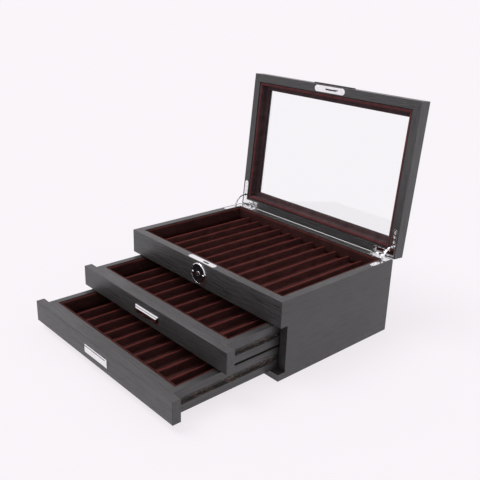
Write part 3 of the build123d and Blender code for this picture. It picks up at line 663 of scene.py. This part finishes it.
def glass_material(name):
    """A clear pane with the faintest smears."""
    groups = shared_groups()
    material, tree, shader = new_material(
        name, Base_Color=CLEAR_GLASS, Transmission_Weight=1.0, IOR=1.45
    )
    vector = own_coordinates(tree)
    handled = use(tree, groups["handled_surface"], {"Vector": vector, "Smear Size": 0.08})
    roughness = spread(tree, handled.outputs["Smear"], 0.0, 1.0, 0.0, 0.012)
    tree.links.new(roughness, shader.inputs["Roughness"])
    return material


def give(names, material):
    """Assign a material to every slot of these CAD nodes."""
    for name in names:
        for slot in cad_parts[name].material_slots:
            slot.material = material


# ---- velvet forms -------------------------------------------------------------------------


def solid_object(name, points, faces, material, painted_highlights=None):
    """A smooth mesh object from points and faces, and a painted highlight at each point."""
    mesh = bpy.data.meshes.new(name)
    mesh.from_pydata([tuple(p) for p in points], [], faces)
    mesh.validate()
    mesh.polygons.foreach_set("use_smooth", [True] * len(mesh.polygons))
    painted_highlight = mesh.attributes.new("fold", "FLOAT", "POINT")
    painted_highlight.data.foreach_set("value", painted_highlights or [0.0] * len(points))
    mesh.materials.append(material)
    mesh.update()
    thing = bpy.data.objects.new(name, mesh)
    bpy.context.scene.collection.objects.link(thing)
    return thing


def loft_rings(rings, closed_path):
    """Points and faces between rings of equally many points, closed into a loop or capped."""
    count = len(rings[0])
    points = [p for ring in rings for p in ring]
    faces = []
    spans = len(rings) if closed_path else len(rings) - 1
    for i in range(spans):
        j = (i + 1) % len(rings)
        for k in range(count):
            n = (k + 1) % count
            faces.append((i * count + k, j * count + k, j * count + n, i * count + n))
    if not closed_path:
        faces.append(tuple(range(count)))
        faces.append(tuple(reversed(range((len(rings) - 1) * count, len(rings) * count))))
    return points, faces


def uneven(x, y, z, amount, size=0.03):
    """A smooth small offset that belongs to a place."""
    return amount * noise.noise(Vector((x / size, y / size, z / size)))


def smooth_steps(start, end, count, ends):
    """Stations from start to end, with extra ones close to both ends."""
    inner = [start + (end - start) * i / count for i in range(count + 1)]
    extra = [start + d for d in ends] + [end - d for d in ends]
    return sorted(set(round(v, 6) for v in inner + extra))


def rib_section(width, foot, height):
    """Outline of a covered divider: cloth sweeping up from the floor and over a round top."""
    half = width / 2
    right = [(half + foot, -RIB_SUNK), (half + foot, 0.0)]
    for i in range(1, 5):
        a = math.pi / 2 * i / 4
        right.append((half + foot * (1 - math.sin(a)), foot * RIB_SWEEP * (1 - math.cos(a))))
    right.append((half, height * 0.55))
    for i in range(7):
        a = math.pi / 2 * i / 6
        right.append((half * math.cos(a), height - half + half * math.sin(a)))
    left = [(-x, z) for x, z in reversed(right[:-1])]
    return right + left


def divider_places(prefix):
    """Where the first divider of a tray stands, and the pitch between them."""
    low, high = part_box(prefix + "_dividers")
    pitch = (high.x - low.x - DIVIDER_THICKNESS) / (SLOTS[prefix] - 2)
    return low.x + DIVIDER_THICKNESS / 2, pitch


def make_ribs(prefix, sizes, material):
    """All covered dividers of one tray."""
    low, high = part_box(prefix + "_dividers")
    height = high.z - low.z
    first, pitch = divider_places(prefix)
    section = rib_section(sizes.rib_width, sizes.rib_foot, height)
    stations = smooth_steps(low.y - RIB_TUCK, high.y + RIB_TUCK, 26, (0.002, 0.004))
    points, faces, painted_highlights = [], [], []
    # Painted highlight: a share of the brighter red along the top of each rib.
    rib_highlight = [max(0.0, min(1.0, (z - height + RIB_HIGHLIGHT_DEPTH) / RIB_HIGHLIGHT_FADE)) for x, z in section]
    for number in range(SLOTS[prefix] - 1):
        centre = first + pitch * number
        rings = []
        for y in stations:
            sway = uneven(centre, y, 1.0, 2.0 * sizes.unevenness, 0.06)
            lift = uneven(centre, y, 5.0, sizes.unevenness, 0.02)
            near_end = min(y - low.y, high.y - y)
            droop = RIB_DROOP * math.exp(-max(near_end, 0.0) / RIB_DROOP_REACH)
            ring = []
            for x, z in section:
                share = max(0.0, z) / height
                swell = 1 + RIB_SWELL * noise.noise(Vector((centre * 40, y * 45, z * 90)))
                across = centre + x * swell + sway * share
                ring.append((across, y, low.z + z + (lift - droop) * share))
            rings.append(ring)
        more_points, more_faces = loft_rings(rings, False)
        offset = len(points)
        points += more_points
        faces += [tuple(i + offset for i in face) for face in more_faces]
        painted_highlights += rib_highlight * len(rings)
    return solid_object(prefix + "_velvet_ribs", points, faces, material, painted_highlights)


def make_floor(prefix, sizes, material):
    """The padded floor of one tray, crowned in each slot and drawn down along the ribs."""
    low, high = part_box(prefix + "_pad")
    rib_low, rib_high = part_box(prefix + "_dividers")
    first, pitch = divider_places(prefix)
    columns = smooth_steps(low.x, high.x, SLOTS[prefix] * 8, (0.0004, 0.0012))
    rows = smooth_steps(low.y, high.y, 36, (0.0004, 0.0012))

    def top(x, y):
        """Height of the floor's velvet at a place."""
        across = ((x - first) / pitch) % 1.0
        crown = sizes.floor_crown * (math.sin(math.pi * across) ** 0.7)
        along = min((y - rib_low.y) / CROWN_END, (rib_high.y - y) / CROWN_END)
        crown *= max(0.0, min(1.0, along)) ** 0.5
        edge = min(x - low.x, high.x - x, y - low.y, high.y - y)
        roll = FLOOR_ROLL * (1 - min(1.0, edge / FLOOR_ROLL_REACH)) ** 2
        return high.z + crown - FLOOR_SINK - roll + uneven(x, y, 3.0, sizes.unevenness, 0.025)

    points = [(x, y, top(x, y)) for y in rows for x in columns]
    wide, deep = len(columns), len(rows)
    faces = []
    for j in range(deep - 1):
        for i in range(wide - 1):
            a = j * wide + i
            faces.append((a, a + 1, a + 1 + wide, a + wide))
    rim = list(range(wide))
    rim += [j * wide + wide - 1 for j in range(1, deep)]
    rim += [(deep - 1) * wide + i for i in range(wide - 2, -1, -1)]
    rim += [j * wide for j in range(deep - 2, 0, -1)]
    base = len(points)
    points += [(points[i][0], points[i][1], low.z) for i in rim]
    for k in range(len(rim)):
        n = (k + 1) % len(rim)
        faces.append((rim[n], rim[k], base + k, base + n))
    faces.append(tuple(base + k for k in reversed(range(len(rim)))))
    return solid_object(prefix + "_velvet_floor", points, faces, material)


def wall_section(thickness, height, roll, bulge):
    """Outline of a wall strip, inwards and up from its outer foot, with a rolled top edge."""
    section = [(0.0, 0.0), (0.0, height * 0.5)]
    section += [(depth, height - drop) for depth, drop in WALL_BACK_EDGE]
    for i in range(6):
        a = math.pi / 2 * i / 5
        section.append((thickness - roll + roll * math.sin(a), height - roll + roll * math.cos(a)))
    for share in (0.72, 0.5, 0.28):
        section.append((thickness + bulge * math.sin(math.pi * share), height * share))
    section.append((thickness, 0.0))
    return section


def make_wall(name, half_x, half_y, centre_y, base_z, section, sizes, material, painted_highlight):
    """A velvet strip round four walls, drawn in at each corner where the cloth is folded.

    The last argument is the strength of a highlight painted along the rolled top edge."""
    corners = [(-1, -1), (1, -1), (1, 1), (-1, 1)]
    rings = []
    for number in range(4):
        start, end = corners[number], corners[(number + 1) % 4]
        span = 2 * (half_x if start[1] == end[1] else half_y)
        near_corner = [distance / span for distance in CORNER_STEPS]
        steps = smooth_steps(0.0, 1.0, max(8, int(span / WALL_STEP)), near_corner)
        for share in steps[:-1]:
            near = min(share, 1 - share) * span
            fold = math.exp(-near / CORNER_REACH)
            ring = []
            for depth, z in section:
                inset = depth - CORNER_TUCK * fold * min(1.0, depth / WALL_THICKNESS)
                ax, ay = start[0] * (half_x - inset), start[1] * (half_y - inset)
                bx, by = end[0] * (half_x - inset), end[1] * (half_y - inset)
                x = ax + (bx - ax) * share
                y = centre_y + ay + (by - ay) * share
                wave = uneven(x, y, base_z + z, sizes.unevenness) * min(1.0, near / WAVE_REACH)
                ring.append((x, y, base_z + z + (wave if z > 0 else 0.0)))
            rings.append(ring)
    points, faces = loft_rings(rings, True)
    # Painted highlight along the rolled top edge of the strip.
    crest_foot = max(z for depth, z in section) - WALL_HIGHLIGHT_DEPTH
    crest_front = max(depth for depth, z in section if z > crest_foot)
    edge = [
        painted_highlight if z > crest_foot and depth > 0.45 * crest_front else 0.0 for depth, z in section
    ]
    return solid_object(name, points, faces, material, edge * len(rings))


def finish_velvet(piece, body, nodes):
    """Hide the CAD nodes that a velvet piece replaces, and hang the piece on its body."""
    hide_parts(*nodes)
    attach(piece, body)


# ---- operators ----------------------------------------------------------------------------


class CHEST_OT_wood(bpy.types.Operator):
    """Give every wooden board its open-pore finish, with the grain along the board"""

    bl_idname = "pen_chest.wood"
    bl_label = "Wood"

    def execute(self, context):
        finishes = context.scene.chest_finishes
        quarter = math.radians(90)
        across = wood_material("black_wood_across", finishes, (0.0, 0.0, 0.0))
        deep = wood_material("black_wood_deep", finishes, (0.0, 0.0, quarter), figure=0.25)
        up_lid = wood_material("black_wood_up_lid", finishes, (0.0, quarter, 0.0))
        give(["base_board", "back_panel", "upper_front_panel", "tray_shelf"], across)
        give(["lid_front_rail", "lid_back_rail", "thumb_lip"], across)
        give(["side_panel_left", "side_panel_right"], deep)
        give(["lid_side_rail_left", "lid_side_rail_right"], up_lid)
        for prefix in ("middle_drawer", "bottom_drawer"):
            boards = ("_front", "_inner_wall", "_rear_wall", "_bottom_panel")
            give([prefix + board for board in boards], across)
            low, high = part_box(prefix + "_side_left")
            middle = (low.z + high.z) / 2
            groove = (
                middle - GROOVE_HALF_HEIGHT,
                middle + GROOVE_HALF_HEIGHT,
                abs(low.x) - GROOVE_SKIN,
            )
            sides = wood_material(prefix + "_side_wood", finishes, (0.0, 0.0, quarter), groove)
            give([prefix + "_side_left", prefix + "_side_right"], sides)
        runner = wood_material("runner_wood", finishes, (0.0, 0.0, quarter))
        give(["middle_runners", "bottom_runners"], runner)
        return {"FINISHED"}


class CHEST_OT_fittings(bpy.types.Operator):
    """Give the hinges, stays, lock, strike, pulls and screws their metal"""

    bl_idname = "pen_chest.fittings"
    bl_label = "Fittings"

    def execute(self, context):
        finishes = context.scene.chest_finishes
        plated = metal_material("polished_plating", finishes.plating, 0.035, 0.075, 0.000002)
        leaf_plating = metal_material("hinge_plating", finishes.plating, 0.05, 0.10, 0.000003)
        steel = metal_material("blued_steel", BLUED_STEEL, 0.38, 0.50, 0.00001)
        enamel = enamel_material("gloss_black_enamel")
        give(["middle_drawer_pull", "bottom_drawer_pull"], plated)
        give(["escutcheon_ring", "escutcheon_screws"], plated)
        give(["stay_arm_left", "stay_arm_right", "key_plug"], plated)
        for side in ("left", "right"):
            give(["hinge_body_leaf_" + side, "hinge_lid_leaf_" + side], leaf_plating)
        give(["lock_top_plate", "strike_plate"], leaf_plating)
        give(["hinge_body_screws", "hinge_lid_screws", "hinge_pins"], plated)
        give(["lock_plate_screws", "strike_screws"], plated)
        give(["lock_case", "lock_bolt", "strike_hook"], steel)
        give(["middle_drawer_pull_screws", "bottom_drawer_pull_screws"], leaf_plating)
        give(["escutcheon_dish"], enamel)
        return {"FINISHED"}


class CHEST_OT_glass(bpy.types.Operator):
    """Give the lid its clear pane"""

    bl_idname = "pen_chest.glass"
    bl_label = "Glass"

    def execute(self, context):
        give(["glass_pane"], glass_material("clear_glass"))
        return {"FINISHED"}


class CHEST_OT_tray_velvet(bpy.types.Operator):
    """Line the top tray and both drawers with velvet floors, ribs and wall strips"""

    bl_idname = "pen_chest.tray_velvet"
    bl_label = "Tray velvet"

    def execute(self, context):
        sizes = context.scene.velvet_sizes
        finishes = context.scene.chest_finishes
        velvet = velvet_material("maroon_velvet", finishes, finishes.velvet, finishes.velvet_sheen)
        # Painted shade: a darker copy of the velvet for the wall strips, in the shade inside the
        # trays.
        painted_shade_pile = [WALL_PAINTED_SHADE * c for c in finishes.velvet]
        wall_velvet_painted_shade = velvet_material("wall_velvet_painted_shade", finishes, painted_shade_pile, finishes.velvet_sheen)
        for prefix, body in TRAYS.items():
            low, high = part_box(prefix + "_lining")
            section = wall_section(WALL_THICKNESS, high.z - low.z, WALL_ROLL, sizes.wall_bulge)
            wall = make_wall(
                prefix + "_velvet_wall",
                (high.x - low.x) / 2,
                (high.y - low.y) / 2,
                (high.y + low.y) / 2,
                low.z,
                section,
                sizes,
                wall_velvet_painted_shade,
                # Strength of the painted highlight along the top edge.
                painted_highlight=0.15,
            )
            finish_velvet(wall, body, [prefix + "_lining"])
            finish_velvet(make_ribs(prefix, sizes, velvet), body, [prefix + "_dividers"])
            finish_velvet(make_floor(prefix, sizes, velvet), body, [prefix + "_pad"])
        return {"FINISHED"}


class CHEST_OT_lid_velvet(bpy.types.Operator):
    """Line the inside of the lid's frame with a velvet strip"""

    bl_idname = "pen_chest.lid_velvet"
    bl_label = "Lid velvet"

    def execute(self, context):
        sizes = context.scene.velvet_sizes
        finishes = context.scene.chest_finishes
        # Painted sheen: the lid strip's greyer colour stands in for its sheen at a grazing angle.
        velvet = velvet_material("lid_velvet_painted_sheen", finishes, finishes.lid_velvet, LID_SHEEN_TINT)
        # Drawn standing on its ledge, turned over into the shut lid, then swung open with it.
        section = wall_section(
            LID_STRIP_THICKNESS, LID_STRIP_HEIGHT, LID_STRIP_ROLL, sizes.wall_bulge
        )
        section[-1:] = LID_LEDGE
        strip = make_wall(
            "lid_velvet_strip",
            LID_STRIP_HALF_WIDTH,
            LID_STRIP_HALF_DEPTH,
            0.0,
            0.0,
            section,
            sizes,
            velvet,
            # Strength of the painted highlight along the rolled edge.
            painted_highlight=0.6,
        )
        closed = Matrix.Translation((0.0, 0.0, GLASS_HEIGHT)) @ Matrix.Rotation(math.pi, 4, "X")
        swing = Matrix.Translation(HINGE) @ Matrix.Rotation(-LID_OPEN, 4, "X")
        strip.data.transform(swing @ Matrix.Translation(-HINGE) @ closed)
        finish_velvet(strip, "lid", ["lid_lining"])
        return {"FINISHED"}


class CHEST_OT_stage(bpy.types.Operator):
    """Set up the floor, the soft lights and the camera"""

    bl_idname = "pen_chest.stage"
    bl_label = "Stage"

    def execute(self, context):
        settings = context.scene.stage_settings
        self.lay_floor(settings)
        self.make_world(context.scene, settings)
        self.make_lights(settings)
        self.make_camera(context.scene, settings)
        return {"FINISHED"}

    def lay_floor(self, settings):
        """A wide matt floor, which the camera and the metal see in one even colour."""
        mesh = bpy.data.meshes.new("studio_floor")
        corners = [(-1, -1), (1, -1), (1, 1), (-1, 1)]
        corners = [(x * FLOOR_REACH, y * FLOOR_REACH, 0) for x, y in corners]
        mesh.from_pydata(corners, [], [(0, 1, 2, 3)])
        floor = bpy.data.objects.new("studio_floor", mesh)
        bpy.context.scene.collection.objects.link(floor)
        material, tree, shader = new_material("pale_floor", Roughness=0.9, Specular_IOR_Level=0.1)
        shader.inputs["Base Color"].default_value = FLOOR_PAINT
        path = tree.nodes.new("ShaderNodeLightPath")
        seen = maths(tree, "MAXIMUM", path.outputs["Is Camera Ray"], path.outputs["Is Glossy Ray"])
        seen = maths(tree, "MAXIMUM", seen, path.outputs["Is Transmission Ray"])
        even = {"Color": opaque(settings.floor_colour), "Strength": 1.0}
        glow = place(tree, "ShaderNodeEmission", even)
        mix = place(tree, "ShaderNodeMixShader", {0: maths(tree, "MULTIPLY", seen, FLOOR_GLOW)})
        output = [n for n in tree.nodes if n.type == "OUTPUT_MATERIAL"][0]
        tree.links.new(shader.outputs[0], mix.inputs[1])
        tree.links.new(glow.outputs[0], mix.inputs[2])
        tree.links.new(mix.outputs[0], output.inputs["Surface"])
        mesh.materials.append(material)

    def make_world(self, scene, settings):
        """Even light from all round, and the floor's colour wherever the surroundings are seen.

        The metal also mirrors a low grey screen in front."""
        world = bpy.data.worlds.new("soft_studio")
        scene.world = world
        world.use_nodes = True
        tree = world.node_tree
        tree.nodes.clear()
        path = tree.nodes.new("ShaderNodeLightPath")
        glossy = path.outputs["Is Glossy Ray"]
        seen = maths(tree, "MAXIMUM", path.outputs["Is Camera Ray"], glossy)
        seen = maths(tree, "MAXIMUM", seen, path.outputs["Is Transmission Ray"])
        outward = tree.nodes.new("ShaderNodeTexCoord").outputs["Generated"]
        direction = place(tree, "ShaderNodeSeparateXYZ", {0: outward})
        below = maths(tree, "LESS_THAN", direction.outputs["Z"], math.sin(SCREEN_TOP))
        above = maths(tree, "GREATER_THAN", direction.outputs["Z"], math.sin(SCREEN_FOOT))
        ahead = maths(tree, "LESS_THAN", direction.outputs["Y"], 0.0)
        screen = maths(tree, "MULTIPLY", maths(tree, "MULTIPLY", below, above), ahead)
        screen = maths(tree, "MULTIPLY", glossy, screen)
        dimmed = spread(tree, screen, 0.0, 1.0, 1.0, settings.screen_strength)
        backdrop = {"Color": opaque(settings.floor_colour), "Strength": dimmed}
        pale = place(tree, "ShaderNodeBackground", backdrop)
        sky = {"Color": (1.0, 1.0, 1.0, 1.0), "Strength": settings.sky_strength}
        even = place(tree, "ShaderNodeBackground", sky)
        mix = place(tree, "ShaderNodeMixShader", {0: seen})
        tree.links.new(even.outputs[0], mix.inputs[1])
        tree.links.new(pale.outputs[0], mix.inputs[2])
        output = tree.nodes.new("ShaderNodeOutputWorld")
        tree.links.new(mix.outputs[0], output.inputs["Surface"])

    def make_lights(self, settings):
        """One broad light from above."""
        light = bpy.data.lights.new("overhead_key", "SUN")
        light.energy = settings.key_strength
        light.angle = KEY_SPREAD
        lamp = bpy.data.objects.new("overhead_key", light)
        lamp.rotation_euler = Vector(KEY_DIRECTION).to_track_quat("-Z", "Y").to_euler()
        bpy.context.scene.collection.objects.link(lamp)

    def make_camera(self, scene, settings):
        """The camera that stands where the photograph was taken."""
        data = bpy.data.cameras.new("photo_view")
        data.sensor_width = 36.0
        data.lens = settings.focal_length
        data.clip_end = 200.0
        camera = bpy.data.objects.new("photo_view", data)
        camera.location = CAMERA_PLACE
        camera.rotation_euler = Euler([math.radians(angle) for angle in CAMERA_TURN])
        scene.collection.objects.link(camera)
        scene.camera = camera


class CHEST_PT_panel(bpy.types.Panel):
    """The chest's steps and settings in the sidebar"""

    bl_idname = "CHEST_PT_panel"
    bl_label = "Pen Chest"
    bl_space_type = "VIEW_3D"
    bl_region_type = "UI"
    bl_category = "Pen Chest"

    def draw(self, context):
        layout = self.layout
        scene = context.scene
        for group in (scene.chest_finishes, scene.velvet_sizes, scene.stage_settings):
            box = layout.box()
            for name in group.__annotations__:
                box.prop(group, name)
        for step in STEPS:
            layout.operator(step.bl_idname)


STEPS = (
    CHEST_OT_stage,
    CHEST_OT_wood,
    CHEST_OT_fittings,
    CHEST_OT_glass,
    CHEST_OT_tray_velvet,
    CHEST_OT_lid_velvet,
)
CLASSES = (ChestFinishes, VelvetSizes, StageSettings) + STEPS + (CHEST_PT_panel,)


def register():
    """Register the classes and hang their settings on the scene."""
    for item in CLASSES:
        bpy.utils.register_class(item)
    bpy.types.Scene.chest_finishes = PointerProperty(type=ChestFinishes)
    bpy.types.Scene.velvet_sizes = PointerProperty(type=VelvetSizes)
    bpy.types.Scene.stage_settings = PointerProperty(type=StageSettings)


def unregister():
    """Take the settings and classes away again."""
    del bpy.types.Scene.chest_finishes
    del bpy.types.Scene.velvet_sizes
    del bpy.types.Scene.stage_settings
    for item in reversed(CLASSES):
        bpy.utils.unregister_class(item)


def main():
    """Dress the chest."""
    register()
    bpy.context.scene.view_settings.view_transform = "Standard"
    for step in STEPS:
        group, name = step.bl_idname.split(".")
        getattr(getattr(bpy.ops, group), name)()


if __name__ == "__main__":
    main()
